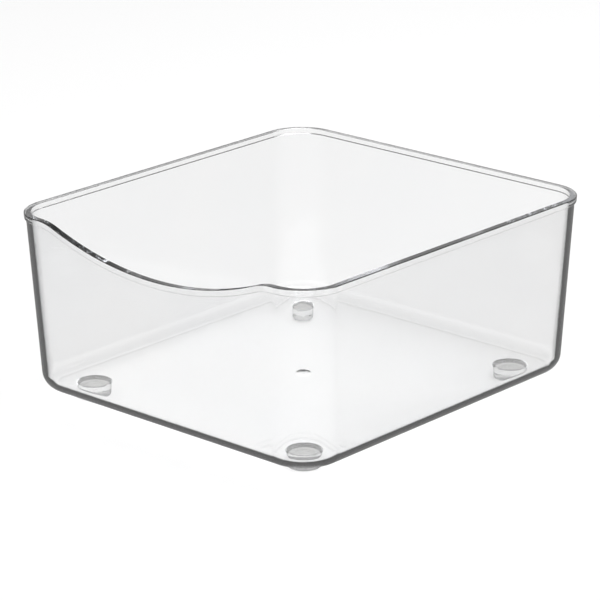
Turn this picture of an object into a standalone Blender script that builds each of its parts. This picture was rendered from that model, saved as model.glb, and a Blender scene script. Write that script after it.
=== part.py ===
"""A clear fridge bin: a moulded open tray with a scooped front wall, on four stick-on feet.

Metres, +Z up. The origin is on the surface that the bin stands on, under the middle of
the bin. The scooped front wall faces -Y.
"""

import math

import bmesh
import bpy

MM = 0.001

# Driving dimensions of the moulded bin
RIM_WIDTH = 222.0 * MM  # over the lip, along X
RIM_DEPTH = 239.2 * MM  # over the lip, along Y
SHELL_HEIGHT = 102.3 * MM  # underside of the floor to the top of the rim
RIM_CORNER_RADIUS = 24.1 * MM  # of the lip's outer edge, seen from above
BASE_CORNER_RADIUS = 25.4 * MM  # of the wall's outer face at the floor, seen from above
DRAFT_INSET = 4.1 * MM  # how far each wall leans in, from the rim to the floor
WALL = 3.0 * MM
FLOOR = 3.0 * MM
FLOOR_EDGE_RADIUS = 9.6 * MM  # outside, where the walls turn into the floor

# The lip, a flange with rounded outer edges that runs right round the rim
LIP_OVERHANG = 1.0 * MM
LIP_THICKNESS = 3.6 * MM
LIP_EDGE_RADIUS = 0.6 * MM
RIM_INNER_RADIUS = 0.25 * MM
LIP_ROOT_RADIUS = 0.35 * MM

# The scoop, a shallow arc with eased ends in the front wall
SCOOP_DEPTH = 16.2 * MM
SCOOP_RADIUS = 205.0 * MM
SCOOP_END_RADIUS = 34.0 * MM

# The gate mark, a dimple under the middle of the floor with the cut sprue in it
GATE_DIMPLE_RADIUS = 6.0 * MM
GATE_DIMPLE_DEPTH = 0.3 * MM
GATE_STUB_RADIUS = 1.1 * MM
GATE_STUB_HEIGHT = 0.25 * MM

# The feet, and the recesses that they are stuck in
STAND_HEIGHT = 7.2 * MM  # from the surface to the floor's underside
FOOT_X = 78.0 * MM
FOOT_Y = 86.0 * MM
FOOT_TOP_RADIUS = 9.5 * MM
FOOT_SOLE_RADIUS = 9.2 * MM
FOOT_EDGE_RADIUS = 0.8 * MM
RECESS_DEPTH = 0.8 * MM
RECESS_RADIUS = FOOT_TOP_RADIUS + 0.3 * MM
ADHESIVE_RADIUS = 8.6 * MM
ADHESIVE_THICKNESS = 0.25 * MM
JOINT_GAP = 0.1 * MM  # above and below each adhesive disc

# How finely round shapes are divided
CORNER_STEPS = 12
FRONT_STEPS = 40
EDGE_STEPS = 6
TURN_STEPS = 40

FLOOR_UNDERSIDE = STAND_HEIGHT
FLOOR_TOP = FLOOR_UNDERSIDE + FLOOR
RIM_TOP = FLOOR_UNDERSIDE + SHELL_HEIGHT
RECESS_CEILING = FLOOR_UNDERSIDE + RECESS_DEPTH
ADHESIVE_TOP = RECESS_CEILING - JOINT_GAP
ADHESIVE_BOTTOM = ADHESIVE_TOP - ADHESIVE_THICKNESS
FOOT_TOP = ADHESIVE_BOTTOM - JOINT_GAP
CUTTER_OVERRUN = 1.0 * MM

CORNERS = {
    "front_left": (-1, -1),
    "front_right": (1, -1),
    "rear_left": (-1, 1),
    "rear_right": (1, 1),
}


def clear_scene():
    for obj in list(bpy.data.objects):
        bpy.data.objects.remove(obj, do_unlink=True)


def clear_plastic(name, colour, roughness, ior):
    """A see-through material with the plastic's tint, gloss and refraction."""
    material = bpy.data.materials.new(name)
    material.use_nodes = True
    shader = material.node_tree.nodes["Principled BSDF"]
    shader.inputs["Base Color"].default_value = (*colour, 1.0)
    shader.inputs["Roughness"].default_value = roughness
    shader.inputs["Metallic"].default_value = 0.0
    shader.inputs["IOR"].default_value = ior
    shader.inputs["Transmission Weight"].default_value = 1.0
    return material


def add_object(name, bm, material, sharp_degrees=32):
    """Closes a bmesh into a named object with smooth round faces."""
    bmesh.ops.recalc_face_normals(bm, faces=bm.faces)
    mesh = bpy.data.meshes.new(name)
    bm.to_mesh(mesh)
    bm.free()
    mesh.shade_smooth()
    mesh.set_sharp_from_angle(angle=math.radians(sharp_degrees))
    if material:
        mesh.materials.append(material)
    obj = bpy.data.objects.new(name, mesh)
    bpy.context.scene.collection.objects.link(obj)
    return obj


def arc(centre, radius, start_degrees, end_degrees, steps=EDGE_STEPS):
    """Points along an arc in the (outwards, up) plane of a section."""
    points = []
    for step in range(steps + 1):
        angle = math.radians(start_degrees + (end_degrees - start_degrees) * step / steps)
        points.append((centre[0] + radius * math.cos(angle), centre[1] + radius * math.sin(angle)))
    return points


def scoop_drop(x):
    """How far the rim lies below its full height at a point x along the front wall.

    The scoop's arc ends at its half chord, where a smaller arc of the opposite bend,
    tangent to it and to the level rim, eases it in.
    """
    x = abs(x)
    arc_centre = SCOOP_RADIUS - SCOOP_DEPTH  # above the rim
    end_centre_x = math.sqrt((SCOOP_RADIUS + SCOOP_END_RADIUS) ** 2 - (arc_centre + SCOOP_END_RADIUS) ** 2)
    tangent_x = end_centre_x * SCOOP_RADIUS / (SCOOP_RADIUS + SCOOP_END_RADIUS)
    if x <= tangent_x:
        return math.sqrt(SCOOP_RADIUS**2 - x**2) - arc_centre
    if x < end_centre_x:
        return SCOOP_END_RADIUS - math.sqrt(SCOOP_END_RADIUS**2 - (end_centre_x - x) ** 2)
    return 0.0


def wall_plan(z):
    """The outer face of the walls at a height: half width, half depth and corner radius.

    The lip reaches its full width where its upper edge's rounding ends, just below the rim.
    """
    share = (z - FLOOR_UNDERSIDE) / (SHELL_HEIGHT - LIP_EDGE_RADIUS)
    inset = LIP_OVERHANG + DRAFT_INSET * (1 - share)
    top_radius = RIM_CORNER_RADIUS - LIP_OVERHANG
    radius = BASE_CORNER_RADIUS + (top_radius - BASE_CORNER_RADIUS) * share
    return RIM_WIDTH / 2 - inset, RIM_DEPTH / 2 - inset, radius


def stations():
    """The places round the bin where its section is drawn, anticlockwise from above.

    Each is (corner signs, angle, share): a corner's angle in degrees, or for the front
    wall the share of the way along it, from -1 at its left end to 1 at its right.
    """
    places = []
    for step in range(1, FRONT_STEPS):
        places.append((None, None, -1 + 2 * step / FRONT_STEPS))
    for signs, first_angle in (((1, -1), -90), ((1, 1), 0), ((-1, 1), 90), ((-1, -1), 180)):
        for step in range(CORNER_STEPS + 1):
            places.append((signs, first_angle + 90 * step / CORNER_STEPS, None))
    return places


def place_point(station, outwards, z):
    """The point of a section at one station, `outwards` from the wall's outer face."""
    signs, angle, share = station
    half_x, half_y, radius = wall_plan(z)
    if signs is None:
        return (share * (half_x - radius), -half_y - outwards, z)
    turn = math.radians(angle)
    reach = radius + outwards
    x = signs[0] * (half_x - radius) + reach * math.cos(turn)
    y = signs[1] * (half_y - radius) + reach * math.sin(turn)
    return (x, y, z)


def station_drop(station):
    """The scoop's drop at a station, which is nothing anywhere but on the front wall."""
    share = station[2]
    if share is None:
        return 0.0
    half_x, _, radius = wall_plan(RIM_TOP)
    return scoop_drop(share * (half_x - radius))


def bin_section():
    """The wall's section as (outwards, height, hangs from the rim), floor middle to floor middle.

    Heights are above the floor's underside, or below the rim for the points that follow it.
    """
    inner_radius = FLOOR_EDGE_RADIUS - WALL
    low = arc((-WALL - inner_radius, FLOOR + inner_radius), inner_radius, 270, 360)
    rim = arc((-WALL + RIM_INNER_RADIUS, -RIM_INNER_RADIUS), RIM_INNER_RADIUS, 180, 90, 3)
    lip_edge = LIP_OVERHANG - LIP_EDGE_RADIUS
    rim += arc((lip_edge, -LIP_EDGE_RADIUS), LIP_EDGE_RADIUS, 90, 0, 4)
    rim += arc((lip_edge, LIP_EDGE_RADIUS - LIP_THICKNESS), LIP_EDGE_RADIUS, 0, -90, 4)
    rim += arc((LIP_ROOT_RADIUS, -LIP_THICKNESS - LIP_ROOT_RADIUS), LIP_ROOT_RADIUS, 90, 180, 2)
    under = arc((-FLOOR_EDGE_RADIUS, FLOOR_EDGE_RADIUS), FLOOR_EDGE_RADIUS, 0, -90)
    section = [(out, up, False) for out, up in low]
    section += [(out, up, True) for out, up in rim]
    section += [(out, up, False) for out, up in under]
    return section


def bin_body():
    """The moulded tray before its underside is cut: the section swept round the stations."""
    bm = bmesh.new()
    places = stations()
    rings = []
    for outwards, up, hangs in bin_section():
        ring = []
        for station in places:
            z = RIM_TOP - station_drop(station) + up if hangs else FLOOR_UNDERSIDE + up
            ring.append(bm.verts.new(place_point(station, outwards, z)))
        rings.append(ring)
    count = len(places)
    for inner, outer in zip(rings, rings[1:]):
        for i in range(count):
            j = (i + 1) % count
            bm.faces.new((inner[i], inner[j], outer[j], outer[i]))
    bm.faces.new(rings[0])
    bm.faces.new(reversed(rings[-1]))
    return bm


def turned(profile):
    """A solid of revolution about Z, from a profile of (radius, height) points."""
    bm = bmesh.new()
    verts = [bm.verts.new((radius, 0, z)) for radius, z in profile]
    edges = [bm.edges.new(pair) for pair in zip(verts, verts[1:])]
    bmesh.ops.spin(
        bm,
        geom=verts + edges,
        cent=(0, 0, 0),
        axis=(0, 0, 1),
        angle=2 * math.pi,
        steps=TURN_STEPS,
        use_merge=True,
    )
    bmesh.ops.remove_doubles(bm, verts=bm.verts, dist=0.001 * MM)
    return bm


def gate_cutter_profile():
    """A shallow dome with the sprue's stub left standing in its middle."""
    low = FLOOR_UNDERSIDE - CUTTER_OVERRUN
    ceiling = FLOOR_UNDERSIDE + GATE_DIMPLE_DEPTH
    stub_end = ceiling - GATE_STUB_HEIGHT
    dome_radius = (GATE_DIMPLE_RADIUS**2 + GATE_DIMPLE_DEPTH**2) / (2 * GATE_DIMPLE_DEPTH)
    profile = [(0, stub_end), (GATE_STUB_RADIUS, stub_end)]
    for step in range(EDGE_STEPS + 1):
        radius = GATE_STUB_RADIUS + (GATE_DIMPLE_RADIUS - GATE_STUB_RADIUS) * step / EDGE_STEPS
        sag = dome_radius - math.sqrt(dome_radius**2 - radius**2)
        profile.append((radius, ceiling - sag))
    return profile + [(GATE_DIMPLE_RADIUS, low), (0, low)]


def recess_cutter_profile():
    low = FLOOR_UNDERSIDE - CUTTER_OVERRUN
    return [(0, RECESS_CEILING), (RECESS_RADIUS, RECESS_CEILING), (RECESS_RADIUS, low), (0, low)]


def foot_profile():
    """A low truncated cone, widest at the top, with a rounded edge round its sole."""
    slope = math.degrees(math.atan2(FOOT_TOP - FOOT_EDGE_RADIUS, FOOT_TOP_RADIUS - FOOT_SOLE_RADIUS))
    sole = arc((FOOT_SOLE_RADIUS - FOOT_EDGE_RADIUS, FOOT_EDGE_RADIUS), FOOT_EDGE_RADIUS, -90, slope - 90)
    top_land = FOOT_TOP - 0.4 * MM
    return [(0, 0), *sole, (FOOT_TOP_RADIUS, top_land), (FOOT_TOP_RADIUS, FOOT_TOP), (0, FOOT_TOP)]


def adhesive_profile():
    return [
        (0, ADHESIVE_BOTTOM),
        (ADHESIVE_RADIUS, ADHESIVE_BOTTOM),
        (ADHESIVE_RADIUS, ADHESIVE_TOP),
        (0, ADHESIVE_TOP),
    ]


def cut(target, cutter):
    """Takes a helper solid out of a piece, and keeps the helper out of the model."""
    cutter.hide_render = True
    cutter.display_type = "WIRE"
    modifier = target.modifiers.new("cut_" + cutter.name, "BOOLEAN")
    modifier.operation = "DIFFERENCE"
    modifier.object = cutter


def make_bin(material):
    shell = add_object("bin_shell", bin_body(), material)
    gate = add_object("gate_cutter", turned(gate_cutter_profile()), None)
    cut(shell, gate)
    for corner, (side_x, side_y) in CORNERS.items():
        recess = add_object("recess_cutter_" + corner, turned(recess_cutter_profile()), None)
        recess.location = (side_x * FOOT_X, side_y * FOOT_Y, 0)
        cut(shell, recess)


def make_repeated(prefix, profile, material):
    """One turned piece under each corner of the bin."""
    first = None
    for corner, (side_x, side_y) in CORNERS.items():
        if first is None:
            first = piece = add_object(f"{prefix}_{corner}", turned(profile), material)
        else:
            piece = bpy.data.objects.new(f"{prefix}_{corner}", first.data)
            bpy.context.scene.collection.objects.link(piece)
        piece.location = (side_x * FOOT_X, side_y * FOOT_Y, 0)


def main():
    clear_scene()
    bin_plastic = clear_plastic("clear_bin_plastic", (0.93, 0.945, 0.95), 0.03, 1.57)
    foot_rubber = clear_plastic("clear_foot_rubber", (0.90, 0.91, 0.915), 0.12, 1.48)
    adhesive = clear_plastic("clear_adhesive", (0.88, 0.885, 0.87), 0.3, 1.47)
    make_bin(bin_plastic)
    make_repeated("foot", foot_profile(), foot_rubber)
    make_repeated("foot_adhesive", adhesive_profile(), adhesive)


main()
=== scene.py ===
"""A clear moulded fridge bin on four stick-on feet, on a plain white studio floor."""

import math

import bmesh
import bpy
from mathutils import Matrix, Vector


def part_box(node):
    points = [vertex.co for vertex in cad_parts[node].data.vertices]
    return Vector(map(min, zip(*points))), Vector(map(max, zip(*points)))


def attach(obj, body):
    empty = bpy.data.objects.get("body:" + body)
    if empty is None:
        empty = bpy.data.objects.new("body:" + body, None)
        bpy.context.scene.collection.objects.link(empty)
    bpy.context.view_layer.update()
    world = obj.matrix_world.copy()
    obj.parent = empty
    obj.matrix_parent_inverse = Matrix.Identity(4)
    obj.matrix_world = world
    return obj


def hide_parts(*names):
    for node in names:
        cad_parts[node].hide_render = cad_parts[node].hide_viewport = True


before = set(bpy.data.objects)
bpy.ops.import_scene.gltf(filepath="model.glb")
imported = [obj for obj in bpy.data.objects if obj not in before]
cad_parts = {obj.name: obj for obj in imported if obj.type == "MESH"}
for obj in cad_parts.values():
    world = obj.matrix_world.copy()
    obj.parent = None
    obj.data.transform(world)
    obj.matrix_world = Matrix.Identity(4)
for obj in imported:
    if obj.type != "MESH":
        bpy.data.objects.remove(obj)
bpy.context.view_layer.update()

MM = 0.001
NEAR = 0.05 * MM  # how closely a point has to lie to a place to be picked as being there

# The bin's section. Its width, depth and heights come from the frame.
LIP_OVERHANG = 1.0 * MM
LIP_THICKNESS = 3.6 * MM
LIP_EDGE_RADIUS = 0.6 * MM
RIM_INNER_RADIUS = 0.25 * MM
LIP_ROOT_RADIUS = 0.35 * MM
WALL = 3.0 * MM
FLOOR_EDGE_RADIUS = 9.6 * MM
DRAFT_INSET = 4.1 * MM
RIM_CORNER_RADIUS = 23.1 * MM  # of the wall's outer face
BASE_CORNER_RADIUS = 25.4 * MM

SCOOP_DEPTH = 16.2 * MM
SCOOP_RADIUS = 205.0 * MM
SCOOP_END_RADIUS = 34.0 * MM

# The gate mark under the middle of the floor, and the recesses that the feet are stuck in
GATE_DIMPLE_RADIUS = 6.0 * MM
GATE_DIMPLE_DEPTH = 0.3 * MM
GATE_STUB_RADIUS = 1.1 * MM
GATE_STUB_HEIGHT = 0.25 * MM
GATE_STUB_EDGE = 0.15 * MM
GATE_STUB_ROOT = 0.2 * MM  # how far the stub reaches into the floor it is joined to
RECESS_DEPTH = 0.8 * MM
RECESS_CLEARANCE = 0.3 * MM
RECESS_CHAMFER = 0.2 * MM

# The feet, low cones with a soft edge and a shallow dish in the sole
FOOT_SOLE_RADIUS = 9.2 * MM
FOOT_LAND = 0.4 * MM  # the upright band round the top
FOOT_SOLE_EDGE = 0.8 * MM
FOOT_TOP_EDGE = 0.12 * MM
FOOT_DISH_RADIUS = 6.6 * MM
FOOT_DISH_DEPTH = 0.12 * MM
ADHESIVE_EDGE = 0.06 * MM

# How finely the round shapes are divided
CORNER_STEPS = 28
FRONT_CUTS = 95
FLOOR_EDGE_STEPS = 10
TURN_STEPS = 96

# The camera, on the line from its aim
CAMERA_AIM = Vector((-1.5, -0.7, 52.1)) * MM
CAMERA_DISTANCE = 1.698
CAMERA_AZIMUTH = math.radians(42.12)
CAMERA_ELEVATION = math.radians(18.9)
CAMERA_ROLL = math.radians(-0.36)
CAMERA_LENS = 182.7
CAMERA_SENSOR = 36.0

# Painted reflection: the glow strength the floor shows to what mirrors it, in place of its lit white;
# each value adds to the one before
PAINTED_MIRROR_GLOW_DEEP = 0.02
PAINTED_MIRROR_GLOW_ONCE = 0.08
PAINTED_MIRROR_GLOW_OUTSIDE = 0.3

# The studio: a white surround, and a large lamp over the bin
FLOOR_SIZE = 12.0
SURROUND_STRENGTH = 0.86
SURROUND_OVERHEAD = 0.35  # the grey overhead, where the surround is 1 round the horizon
HORIZON_ENDS = 0.3
OVERHEAD_BEGINS = 0.75
LAMP_PLACE = (0.4, 0.3, 3.0)
LAMP_SIZE = 3.0
LAMP_POWER = 84.0
SHADOW_TINT = 0.905  # how much lamplight each surface of a clear piece lets through
LIGHT_BOUNCES = 40

CORNERS = {
    "front_left": (-1, -1),
    "front_right": (1, -1),
    "rear_left": (-1, 1),
    "rear_right": (1, 1),
}


# Modelling by hand: what the helpers below pick, the operators then work on


def select_only(piece):
    bpy.ops.object.select_all(action="DESELECT")
    piece.select_set(True)
    bpy.context.view_layer.objects.active = piece


def edit(piece):
    select_only(piece)
    bpy.ops.object.mode_set(mode="EDIT")


def leave_edit():
    bpy.ops.object.mode_set(mode="OBJECT")


def pick(piece, kind, test):
    """In edit mode, selects a piece's vertices, edges or faces that pass a test, and only those."""
    bpy.ops.mesh.select_mode(type=kind)
    bpy.ops.mesh.select_all(action="DESELECT")
    bm = bmesh.from_edit_mesh(piece.data)
    parts = {"VERT": bm.verts, "EDGE": bm.edges, "FACE": bm.faces}[kind]
    for part in parts:
        if test(part):
            part.select_set(True)
    bm.select_flush_mode()
    bmesh.update_edit_mesh(piece.data)


def at_height(part, height, tolerance=NEAR):
    """True if all of a vertex, edge or face lies at one height."""
    verts = getattr(part, "verts", None) or [part]
    return all(abs(vert.co.z - height) < tolerance for vert in verts)


def centre_of(edge):
    return (edge.verts[0].co + edge.verts[1].co) / 2


def apply_modifier(piece, kind, **settings):
    select_only(piece)
    modifier = piece.modifiers.new(kind.lower(), kind)
    for name, value in settings.items():
        setattr(modifier, name, value)
    bpy.ops.object.modifier_apply(modifier=modifier.name)


def settle(piece):
    """Puts a finished piece's place in its mesh and its object at the origin."""
    select_only(piece)
    bpy.ops.object.transform_apply(location=True, rotation=True, scale=True)


def smooth(piece, degrees=34):
    """Round faces look round, flat faces flat, and edges sharper than the angle stay crisp."""
    select_only(piece)
    bpy.ops.object.shade_smooth_by_angle(angle=math.radians(degrees))
    apply_modifier(piece, "WEIGHTED_NORMAL", mode="FACE_AREA", weight=100, keep_sharp=True)


def copy_to(piece, name, offset):
    """A copy of a finished piece with a mesh of its own."""
    twin = piece.copy()
    twin.data = piece.data.copy()
    twin.name = name
    bpy.context.scene.collection.objects.link(twin)
    twin.location = offset
    settle(twin)
    return twin


# The bin


def scoop_drop(x):
    """How far the rim lies below its full height at a point x along the front wall."""
    x = abs(x)
    arc_centre = SCOOP_RADIUS - SCOOP_DEPTH
    both = SCOOP_RADIUS + SCOOP_END_RADIUS
    end_x = math.sqrt(both**2 - (arc_centre + SCOOP_END_RADIUS) ** 2)
    if x <= end_x * SCOOP_RADIUS / both:
        return math.sqrt(SCOOP_RADIUS**2 - x**2) - arc_centre
    if x < end_x:
        return SCOOP_END_RADIUS - math.sqrt(SCOOP_END_RADIUS**2 - (end_x - x) ** 2)
    return 0.0


def rough_out_tray(half_x, half_y, base, rim):
    """A block with round upright corners, drawn in towards its floor, and open at the top."""
    middle = (base + rim) / 2
    size = (2 * half_x, 2 * half_y, rim - base)
    bpy.ops.mesh.primitive_cube_add(size=1, location=(0, 0, middle), scale=size)
    tray = bpy.context.object
    tray.name = "moulded_bin"
    settle(tray)
    edit(tray)
    pick(tray, "EDGE", lambda edge: abs(edge.verts[0].co.z - edge.verts[1].co.z) > NEAR)
    bpy.ops.mesh.bevel(offset=RIM_CORNER_RADIUS, segments=CORNER_STEPS, affect="EDGES")
    pick(tray, "FACE", lambda face: at_height(face, rim))
    bpy.ops.mesh.delete(type="ONLY_FACE")
    shrink = BASE_CORNER_RADIUS / RIM_CORNER_RADIUS
    for side_x, side_y in CORNERS.values():
        inner_x = half_x - RIM_CORNER_RADIUS - NEAR
        inner_y = half_y - RIM_CORNER_RADIUS - NEAR
        in_corner = lambda v: v.co.x * side_x > inner_x and v.co.y * side_y > inner_y
        pick(tray, "VERT", lambda v: at_height(v, base) and in_corner(v))
        bpy.ops.transform.translate(value=(-side_x * DRAFT_INSET, -side_y * DRAFT_INSET, 0))
        sharp_corner = (side_x * (half_x - DRAFT_INSET), side_y * (half_y - DRAFT_INSET), base)
        bpy.ops.transform.resize(value=(shrink, shrink, 1), center_override=sharp_corner)
    return tray


def divide_front(tray, half_x, half_y):
    """Upright divisions in the front wall, for the scoop's curve."""
    front = half_y - DRAFT_INSET - NEAR
    is_long = lambda e: abs(e.verts[0].co.x - e.verts[1].co.x) > half_x
    pick(tray, "EDGE", lambda e: centre_of(e).y < -front and is_long(e))
    bpy.ops.mesh.subdivide(number_cuts=FRONT_CUTS)


def round_floor_edge(tray, base, draft):
    pick(tray, "EDGE", lambda edge: at_height(edge, base))
    width = FLOOR_EDGE_RADIUS * math.tan((math.pi / 2 - draft) / 2)
    bpy.ops.mesh.bevel(offset=width, segments=FLOOR_EDGE_STEPS, affect="EDGES")


def flatten(tray, test, height):
    pick(tray, "VERT", test)
    bpy.ops.transform.resize(value=(1, 1, 0), center_override=(0, 0, height))


def is_outward(face):
    """True for a wall's outer face, which points away from the bin's middle."""
    middle = face.calc_center_median()
    return face.normal.x * middle.x + face.normal.y * middle.y > 0


def make_lip(tray, half_x, half_y, rim):
    """Draws the top band of the outer face out into the lip, then rounds its edges."""
    under = rim - LIP_THICKNESS
    flatten(tray, lambda v: v.co.z > rim - 5 * NEAR, rim)
    upright = lambda face: abs(face.normal.z) < 0.5
    in_band = lambda face: min(v.co.z for v in face.verts) > under - 5 * NEAR
    pick(tray, "FACE", lambda face: upright(face) and is_outward(face) and in_band(face))
    bpy.ops.mesh.extrude_region_shrink_fatten(
        TRANSFORM_OT_shrink_fatten={"value": LIP_OVERHANG, "use_even_offset": True}
    )
    outside = lambda v: beyond(v.co, half_x, half_y) > LIP_OVERHANG / 2
    flatten(tray, lambda v: outside(v) and v.co.z > rim - LIP_THICKNESS / 2, rim)
    flatten(tray, lambda v: outside(v) and v.co.z < rim - LIP_THICKNESS / 2, under)
    at_edge = lambda e: at_height(e, rim) or at_height(e, under)
    pick(tray, "EDGE", lambda e: all(outside(v) for v in e.verts) and at_edge(e))
    bpy.ops.mesh.bevel(offset=LIP_EDGE_RADIUS, segments=7, affect="EDGES")
    inside = lambda v: beyond(v.co, half_x, half_y) < -WALL / 2
    pick(tray, "EDGE", lambda e: at_height(e, rim) and all(inside(v) for v in e.verts))
    bpy.ops.mesh.bevel(offset=RIM_INNER_RADIUS, segments=5, affect="EDGES")
    on_wall = lambda v: abs(beyond(v.co, half_x, half_y)) < 10 * NEAR
    pick(tray, "EDGE", lambda e: at_height(e, under, 3 * NEAR) and all(on_wall(v) for v in e.verts))
    bpy.ops.mesh.bevel(offset=LIP_ROOT_RADIUS, segments=4, affect="EDGES")


def beyond(point, half_x, half_y):
    """How far a point near the rim lies outside the wall's outer face there."""
    x = max(abs(point.x) - (half_x - RIM_CORNER_RADIUS), 0)
    y = max(abs(point.y) - (half_y - RIM_CORNER_RADIUS), 0)
    return math.hypot(x, y) - RIM_CORNER_RADIUS


def drop_front(tray, half_x, half_y, rim, draft):
    """Lowers the front wall's lip, division by division, along the scoop's curve."""
    low = rim - LIP_THICKNESS - LIP_ROOT_RADIUS - 10 * NEAR
    front = half_y - WALL - 21 * NEAR
    pitch = 2 * (half_x - RIM_CORNER_RADIUS) / (FRONT_CUTS + 1)
    for step in range((FRONT_CUTS + 1) // 2 + 1):
        x = step * pitch
        drop = scoop_drop(x)
        if drop == 0:
            continue
        in_column = lambda v: abs(abs(v.co.x) - x) < pitch / 3
        pick(tray, "VERT", lambda v: v.co.z > low and v.co.y < -front and in_column(v))
        bpy.ops.transform.translate(value=(0, drop * math.tan(draft), -drop))


def model_bin():
    low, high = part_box("bin_shell")
    half_x, half_y = high.x - LIP_OVERHANG, high.y - LIP_OVERHANG
    base, rim = low.z, high.z
    draft = math.atan(DRAFT_INSET / (rim - base))
    tray = rough_out_tray(half_x, half_y, base, rim)
    divide_front(tray, half_x, half_y)
    round_floor_edge(tray, base, draft)
    bpy.ops.mesh.select_all(action="SELECT")
    bpy.ops.mesh.bisect(plane_co=(0, 0, rim - LIP_THICKNESS), plane_no=(0, 0, 1))
    bpy.ops.mesh.select_all(action="SELECT")
    bpy.ops.mesh.normals_make_consistent(inside=False)
    leave_edit()
    walls = {"thickness": WALL, "offset": -1, "use_even_offset": True, "use_quality_normals": True}
    apply_modifier(tray, "SOLIDIFY", **walls)
    edit(tray)
    make_lip(tray, half_x, half_y, rim)
    drop_front(tray, half_x, half_y, rim, draft)
    leave_edit()
    return tray


def cylinder(name, radius, low, high, centre, steps=TURN_STEPS):
    """An upright cylinder between two heights, to shape further."""
    bpy.ops.mesh.primitive_cylinder_add(
        vertices=steps, radius=radius, depth=high - low, location=(centre.x, centre.y, (low + high) / 2)
    )
    piece = bpy.context.object
    piece.name = name
    settle(piece)
    return piece


def cut_with(tray, cutter, operation="DIFFERENCE"):
    apply_modifier(tray, "BOOLEAN", operation=operation, object=cutter, solver="EXACT")
    bpy.data.objects.remove(cutter)


def cut_recess(tray, corner, base):
    """A shallow round recess with a chamfered mouth, for one foot."""
    low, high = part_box("foot_" + corner)
    centre = (low + high) / 2
    radius = (high.x - low.x) / 2 + RECESS_CLEARANCE
    cutter = cylinder("recess", radius, base - MM, base + RECESS_DEPTH, centre)
    edit(cutter)
    for height in (base, base + RECESS_CHAMFER):
        bpy.ops.mesh.select_all(action="SELECT")
        bpy.ops.mesh.bisect(plane_co=(0, 0, height), plane_no=(0, 0, 1))
    pick(cutter, "VERT", lambda v: v.co.z < base + NEAR)
    wider = (radius + RECESS_CHAMFER) / radius
    bpy.ops.transform.resize(value=(wider, wider, 1), center_override=(centre.x, centre.y, base))
    leave_edit()
    cut_with(tray, cutter)


def cut_gate_mark(tray, base):
    """The dished mark that the mould's gate leaves, with the cut end of the sprue in it."""
    reach, depth = GATE_DIMPLE_RADIUS, GATE_DIMPLE_DEPTH
    radius = (reach**2 + depth**2) / (2 * depth)
    centre = (0, 0, base + depth - radius)
    bpy.ops.mesh.primitive_uv_sphere_add(
        segments=TURN_STEPS, ring_count=TURN_STEPS * 2, radius=radius, location=centre
    )
    dish = bpy.context.object
    settle(dish)
    cut_with(tray, dish)
    end = base + depth - GATE_STUB_HEIGHT
    root = base + depth + GATE_STUB_ROOT
    stub = cylinder("stub", GATE_STUB_RADIUS, end, root, Vector(), TURN_STEPS // 3)
    edit(stub)
    pick(stub, "EDGE", lambda edge: at_height(edge, end))
    bpy.ops.mesh.bevel(offset=GATE_STUB_EDGE, segments=3, affect="EDGES")
    leave_edit()
    cut_with(tray, stub, "UNION")


def model_foot(node):
    """One stick-on foot, widest where it is stuck and tapering to its sole."""
    low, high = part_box(node)
    centre = (low + high) / 2
    top_radius = (high.x - low.x) / 2
    shoulder = high.z - FOOT_LAND
    bpy.ops.mesh.primitive_cone_add(
        vertices=TURN_STEPS,
        radius1=FOOT_SOLE_RADIUS,
        radius2=top_radius,
        depth=shoulder - low.z,
        location=(centre.x, centre.y, (low.z + shoulder) / 2),
    )
    foot = bpy.context.object
    settle(foot)
    edit(foot)
    pick(foot, "FACE", lambda face: at_height(face, shoulder))
    bpy.ops.mesh.extrude_region_move(TRANSFORM_OT_translate={"value": (0, 0, FOOT_LAND)})
    pick(foot, "EDGE", lambda edge: at_height(edge, high.z))
    bpy.ops.mesh.bevel(offset=FOOT_TOP_EDGE, segments=3, affect="EDGES")
    pick(foot, "EDGE", lambda edge: at_height(edge, low.z))
    bpy.ops.mesh.bevel(offset=FOOT_SOLE_EDGE, segments=6, affect="EDGES")
    pick(foot, "FACE", lambda face: at_height(face, low.z) and len(face.verts) == TURN_STEPS)
    bpy.ops.mesh.inset(thickness=FOOT_SOLE_RADIUS - FOOT_SOLE_EDGE - FOOT_DISH_RADIUS)
    bpy.ops.mesh.inset(thickness=2 * FOOT_DISH_DEPTH)
    bpy.ops.transform.translate(value=(0, 0, FOOT_DISH_DEPTH))
    leave_edit()
    return foot


def model_adhesive(node):
    """The thin clear disc that sticks a foot into its recess."""
    low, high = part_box(node)
    disc = cylinder(node, (high.x - low.x) / 2, low.z, high.z, (low + high) / 2)
    edit(disc)
    at_end = lambda edge, end: at_height(edge, end, NEAR / 2)
    pick(disc, "EDGE", lambda edge: at_end(edge, low.z) or at_end(edge, high.z))
    bpy.ops.mesh.bevel(offset=ADHESIVE_EDGE, segments=3, affect="EDGES")
    leave_edit()
    return disc


def add_feet():
    first_foot = first_disc = None
    start = None
    for corner in CORNERS:
        node = "foot_" + corner
        pad = "foot_adhesive_" + corner
        low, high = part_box(node)
        centre = (low + high) / 2
        if first_foot is None:
            start = centre
            foot = first_foot = model_foot(node)
            disc = first_disc = model_adhesive(pad)
            smooth(foot)
            smooth(disc)
            foot.data.materials.append(clear_material("clear_rubber", CLEAR_RUBBER))
            disc.data.materials.append(clear_material("clear_adhesive", CLEAR_ADHESIVE))
            foot.name = "stick_on_" + node
            disc.name = "stick_on_pad_" + corner
        else:
            away = (centre.x - start.x, centre.y - start.y, 0)
            foot = copy_to(first_foot, "stick_on_" + node, away)
            disc = copy_to(first_disc, "stick_on_pad_" + corner, away)
        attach(foot, "root")
        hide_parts(node)
        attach(disc, "root")
        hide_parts(pad)


def add_bin():
    tray = model_bin()
    low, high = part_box("bin_shell")
    for corner in CORNERS:
        cut_recess(tray, corner, low.z)
    cut_gate_mark(tray, low.z)
    smooth(tray)
    tray.data.materials.append(clear_material("clear_plastic", CLEAR_PLASTIC))
    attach(tray, "root")
    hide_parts("bin_shell")


# Materials


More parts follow.
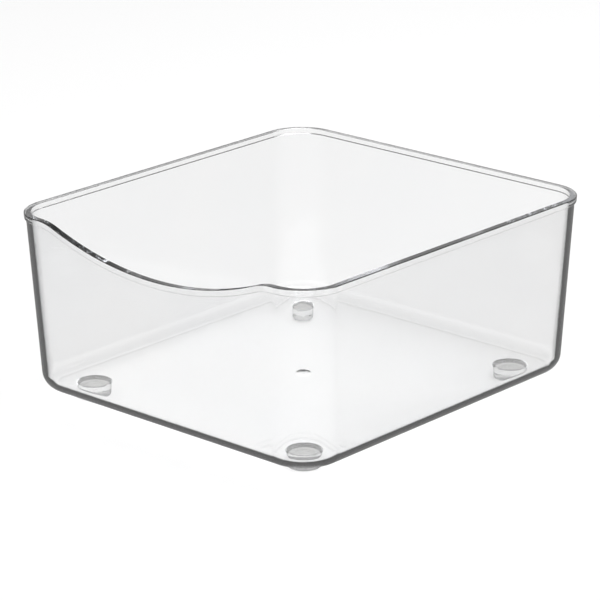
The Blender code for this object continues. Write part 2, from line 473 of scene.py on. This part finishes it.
def new_group(name, inputs, outputs):
    """A shader node group with its sockets, and its tree's input and output nodes."""
    group = bpy.data.node_groups.new(name, "ShaderNodeTree")
    for socket, kind, value in inputs:
        made = group.interface.new_socket(socket, in_out="INPUT", socket_type=kind)
        if value is not None:
            made.default_value = value
    for socket, kind in outputs:
        group.interface.new_socket(socket, in_out="OUTPUT", socket_type=kind)
    return group, group.nodes.new("NodeGroupInput"), group.nodes.new("NodeGroupOutput")


def add_math(tree, operation, *values):
    """A Math node, each of its values a number or another node's output."""
    node = tree.nodes.new("ShaderNodeMath")
    node.operation = operation
    for socket, value in zip(node.inputs, values):
        if isinstance(value, (int, float)):
            socket.default_value = value
        else:
            tree.links.new(value, socket)
    return node.outputs["Value"]


def add_noise(tree, place, scale, detail, distortion=0.0):
    node = tree.nodes.new("ShaderNodeTexNoise")
    tree.links.new(place, node.inputs["Vector"])
    tree.links.new(scale, node.inputs["Scale"])
    node.inputs["Detail"].default_value = detail
    node.inputs["Distortion"].default_value = distortion
    return node.outputs["Fac"]


def add_range(tree, value, low, high, to_low=0.0, to_high=1.0):
    """A Map Range node; its new range's ends are numbers or other nodes' outputs."""
    node = tree.nodes.new("ShaderNodeMapRange")
    node.interpolation_type = "SMOOTHSTEP"
    tree.links.new(value, node.inputs["Value"])
    node.inputs["From Min"].default_value = low
    node.inputs["From Max"].default_value = high
    for socket, end in (("To Min", to_low), ("To Max", to_high)):
        if isinstance(end, (int, float)):
            node.inputs[socket].default_value = end
        else:
            tree.links.new(end, node.inputs[socket])
    return node.outputs["Result"]


def moulded_finish_group():
    """The surface that a mould leaves: slow flow waves, a fine grain, and rubbed, scuffed patches."""
    group, given, out = new_group(
        "moulded_finish",
        [
            ("Place", "NodeSocketVector", None),
            ("Flow Scale", "NodeSocketFloat", 14.0),
            ("Grain Scale", "NodeSocketFloat", 900.0),
            ("Grain Share", "NodeSocketFloat", 0.1),
            ("Scuff Scale", "NodeSocketFloat", 60.0),
            ("Clean Roughness", "NodeSocketFloat", 0.0),
            ("Rubbed Roughness", "NodeSocketFloat", 0.1),
        ],
        [("Height", "NodeSocketFloat"), ("Roughness", "NodeSocketFloat"), ("Cloud", "NodeSocketFloat")],
    )
    flow = add_noise(group, given.outputs["Place"], given.outputs["Flow Scale"], 1.0, 0.4)
    grain = add_noise(group, given.outputs["Place"], given.outputs["Grain Scale"], 2.0)
    fine = add_math(group, "MULTIPLY", grain, given.outputs["Grain Share"])
    group.links.new(add_math(group, "ADD", flow, fine), out.inputs["Height"])
    patches = add_noise(group, given.outputs["Place"], given.outputs["Scuff Scale"], 4.0, 0.8)
    stretch = group.nodes.new("ShaderNodeMapping")
    stretch.inputs["Rotation"].default_value = (0.5, 0.3, 0.7)
    stretch.inputs["Scale"].default_value = (1.0, 14.0, 14.0)
    group.links.new(given.outputs["Place"], stretch.inputs["Vector"])
    lines = add_noise(group, stretch.outputs["Vector"], given.outputs["Scuff Scale"], 2.0)
    rubbed = add_range(group, patches, 0.52, 0.75)
    hairlines = add_range(group, lines, 0.66, 0.72, 0.0, 0.6)
    worn = add_math(group, "MAXIMUM", rubbed, hairlines)
    clean, dull = given.outputs["Clean Roughness"], given.outputs["Rubbed Roughness"]
    group.links.new(add_range(group, worn, 0.0, 1.0, clean, dull), out.inputs["Roughness"])
    group.links.new(add_range(group, flow, 0.3, 0.7), out.inputs["Cloud"])
    return group


def clear_material(name, look):
    """A clear solid: light bends through it, fades along its way in it, and lamps shine through it."""
    material = bpy.data.materials.new(name)
    material.use_nodes = True
    tree = material.node_tree
    nodes, links = tree.nodes, tree.links
    shader = nodes["Principled BSDF"]
    shader.inputs["IOR"].default_value = look["ior"]
    shader.inputs["Transmission Weight"].default_value = 1.0
    place = nodes.new("ShaderNodeTexCoord")
    finish = nodes.new("ShaderNodeGroup")
    finish.node_tree = bpy.data.node_groups.get("moulded_finish") or moulded_finish_group()
    links.new(place.outputs["Object"], finish.inputs["Place"])
    for socket, value in look["finish"].items():
        finish.inputs[socket].default_value = value
    tint = nodes.new("ShaderNodeMix")
    tint.data_type = "RGBA"
    links.new(finish.outputs["Cloud"], tint.inputs["Factor"])
    tint.inputs["A"].default_value = (*look["colour"], 1)
    tint.inputs["B"].default_value = (*look["other_colour"], 1)
    links.new(tint.outputs["Result"], shader.inputs["Base Color"])
    links.new(finish.outputs["Roughness"], shader.inputs["Roughness"])
    bump = nodes.new("ShaderNodeBump")
    bump.inputs["Strength"].default_value = look["bump_strength"]
    bump.inputs["Distance"].default_value = look["bump_distance"]
    links.new(finish.outputs["Height"], bump.inputs["Height"])
    links.new(bump.outputs["Normal"], shader.inputs["Normal"])
    fade = nodes.new("ShaderNodeVolumeAbsorption")
    fade.inputs["Color"].default_value = (*look["absorbs_to"], 1)
    fade.inputs["Density"].default_value = look["absorb_density"]
    output = nodes["Material Output"]
    links.new(fade.outputs["Volume"], output.inputs["Volume"])
    see_through = nodes.new("ShaderNodeBsdfTransparent")
    see_through.inputs["Color"].default_value = (SHADOW_TINT, SHADOW_TINT, SHADOW_TINT, 1)
    path = nodes.new("ShaderNodeLightPath")
    mix = nodes.new("ShaderNodeMixShader")
    links.new(path.outputs["Is Shadow Ray"], mix.inputs["Fac"])
    links.new(shader.outputs["BSDF"], mix.inputs[1])
    links.new(see_through.outputs["BSDF"], mix.inputs[2])
    links.new(mix.outputs["Shader"], output.inputs["Surface"])
    return material


CLEAR_PLASTIC = {
    "colour": (0.982, 0.982, 0.982),
    "other_colour": (0.974, 0.976, 0.979),
    "ior": 1.57,
    "absorbs_to": (0.72, 0.73, 0.75),
    "absorb_density": 6.0,
    "bump_strength": 0.06,
    "bump_distance": 0.4 * MM,
    "finish": {"Clean Roughness": 0.0, "Rubbed Roughness": 0.05},
}
CLEAR_RUBBER = {
    "colour": (0.985, 0.985, 0.98),
    "other_colour": (0.97, 0.972, 0.97),
    "ior": 1.48,
    "absorbs_to": (0.7, 0.72, 0.75),
    "absorb_density": 6.0,
    "bump_strength": 0.06,
    "bump_distance": 0.2 * MM,
    "finish": {
        "Flow Scale": 60.0,
        "Grain Scale": 2500.0,
        "Grain Share": 0.4,
        "Scuff Scale": 220.0,
        "Clean Roughness": 0.0,
        "Rubbed Roughness": 0.08,
    },
}
CLEAR_ADHESIVE = {
    "colour": (0.985, 0.985, 0.98),
    "other_colour": (0.965, 0.965, 0.95),
    "ior": 1.47,
    "absorbs_to": (0.7, 0.7, 0.65),
    "absorb_density": 8.0,
    "bump_strength": 0.05,
    "bump_distance": 0.05 * MM,
    "finish": {
        "Flow Scale": 160.0,
        "Grain Scale": 3000.0,
        "Grain Share": 0.6,
        "Scuff Scale": 400.0,
        "Clean Roughness": 0.01,
        "Rubbed Roughness": 0.08,
    },
}


def white_floor_painted_mirror_glow():
    """Plain white and lit where it is seen straight or through the plastic; to what mirrors it, a
    painted glow in place of that lit white, painted shade as of a small lit table in a dark studio.

    A mirror on the outside of the plastic sees this painted glow half lit, one inside the plastic sees
    it dim, and light that has gone round inside the plastic sees it nearly black.
    """
    material = bpy.data.materials.new("white_floor_painted_mirror_glow")
    material.use_nodes = True
    tree = material.node_tree
    nodes, links = tree.nodes, tree.links
    shader = nodes["Principled BSDF"]
    shader.inputs["Base Color"].default_value = (0.92, 0.92, 0.92, 1)
    shader.inputs["Roughness"].default_value = 0.9
    shader.inputs["Specular IOR Level"].default_value = 0.1
    path = nodes.new("ShaderNodeLightPath")
    bounces, crossings = path.outputs["Glossy Depth"], path.outputs["Transmission Depth"]
    # Painted shade: the strength of a set glow that mirrors see on the floor, not light from the lamps
    once = add_math(tree, "MULTIPLY", add_math(tree, "LESS_THAN", bounces, 1.5), PAINTED_MIRROR_GLOW_ONCE)
    outside = add_math(tree, "MULTIPLY", add_math(tree, "LESS_THAN", crossings, 0.5), PAINTED_MIRROR_GLOW_OUTSIDE)
    painted_mirror_glow = nodes.new("ShaderNodeEmission")
    painted_mirror_glow.inputs["Color"].default_value = (1, 1, 1, 1)
    painted_glow_strength = add_math(tree, "ADD", add_math(tree, "ADD", once, outside), PAINTED_MIRROR_GLOW_DEEP)
    links.new(painted_glow_strength, painted_mirror_glow.inputs["Strength"])
    # Every ray that a mirror sent gets the painted glow instead of the lit white floor
    mix = nodes.new("ShaderNodeMixShader")
    links.new(add_math(tree, "GREATER_THAN", bounces, 0.5), mix.inputs["Fac"])
    links.new(shader.outputs["BSDF"], mix.inputs[1])
    links.new(painted_mirror_glow.outputs["Emission"], mix.inputs[2])
    links.new(mix.outputs["Shader"], nodes["Material Output"].inputs["Surface"])
    return material


# The studio


def add_floor():
    bpy.ops.mesh.primitive_plane_add(size=FLOOR_SIZE)
    floor = bpy.context.object
    floor.name = "studio_floor"
    floor.data.materials.append(white_floor_painted_mirror_glow())


def add_lamp(name, place, size, power):
    data = bpy.data.lights.new(name, "AREA")
    data.shape, data.size, data.energy = "SQUARE", size, power
    lamp = bpy.data.objects.new(name, data)
    lamp.location = place
    lamp.rotation_euler = (-Vector(place)).to_track_quat("-Z", "Y").to_euler()
    bpy.context.scene.collection.objects.link(lamp)


def add_world():
    """A white studio: bright round the horizon and greyer overhead."""
    world = bpy.data.worlds.new("studio")
    bpy.context.scene.world = world
    world.use_nodes = True
    nodes, links = world.node_tree.nodes, world.node_tree.links
    place = nodes.new("ShaderNodeTexCoord")
    split = nodes.new("ShaderNodeSeparateXYZ")
    ramp = nodes.new("ShaderNodeValToRGB")
    links.new(place.outputs["Generated"], split.inputs["Vector"])
    links.new(split.outputs["Z"], ramp.inputs["Fac"])
    links.new(ramp.outputs["Color"], nodes["Background"].inputs["Color"])
    ramp.color_ramp.interpolation = "EASE"
    horizon, overhead = ramp.color_ramp.elements
    horizon.position = HORIZON_ENDS
    horizon.color = (1.0, 1.0, 1.0, 1)
    overhead.position = OVERHEAD_BEGINS
    overhead.color = (SURROUND_OVERHEAD, SURROUND_OVERHEAD, SURROUND_OVERHEAD, 1)
    nodes["Background"].inputs["Strength"].default_value = SURROUND_STRENGTH


def add_camera():
    data = bpy.data.cameras.new("camera")
    data.lens, data.sensor_width = CAMERA_LENS, CAMERA_SENSOR
    camera = bpy.data.objects.new("camera", data)
    bpy.context.scene.collection.objects.link(camera)
    a, e, r = CAMERA_AZIMUTH, CAMERA_ELEVATION, CAMERA_ROLL
    back = Vector((math.sin(a) * math.cos(e), -math.cos(a) * math.cos(e), math.sin(e)))
    right = Vector((math.cos(a), math.sin(a), 0))
    up = back.cross(right)
    right, up = right * math.cos(r) + up * math.sin(r), up * math.cos(r) - right * math.sin(r)
    turn = Matrix((right, up, back)).transposed().to_4x4()
    camera.matrix_world = Matrix.Translation(CAMERA_AIM + back * CAMERA_DISTANCE) @ turn
    bpy.context.scene.camera = camera


def set_look():
    """Whites stay white, and light may bend through wall after wall."""
    scene = bpy.context.scene
    scene.view_settings.view_transform = "Standard"
    scene.cycles.max_bounces = LIGHT_BOUNCES
    scene.cycles.transmission_bounces = LIGHT_BOUNCES
    scene.cycles.glossy_bounces = LIGHT_BOUNCES
    scene.cycles.diffuse_bounces = 4
    scene.cycles.transparent_max_bounces = 24


add_camera()
add_bin()
add_feet()
add_floor()
add_world()
add_lamp("overhead_softbox", LAMP_PLACE, LAMP_SIZE, LAMP_POWER)
set_look()
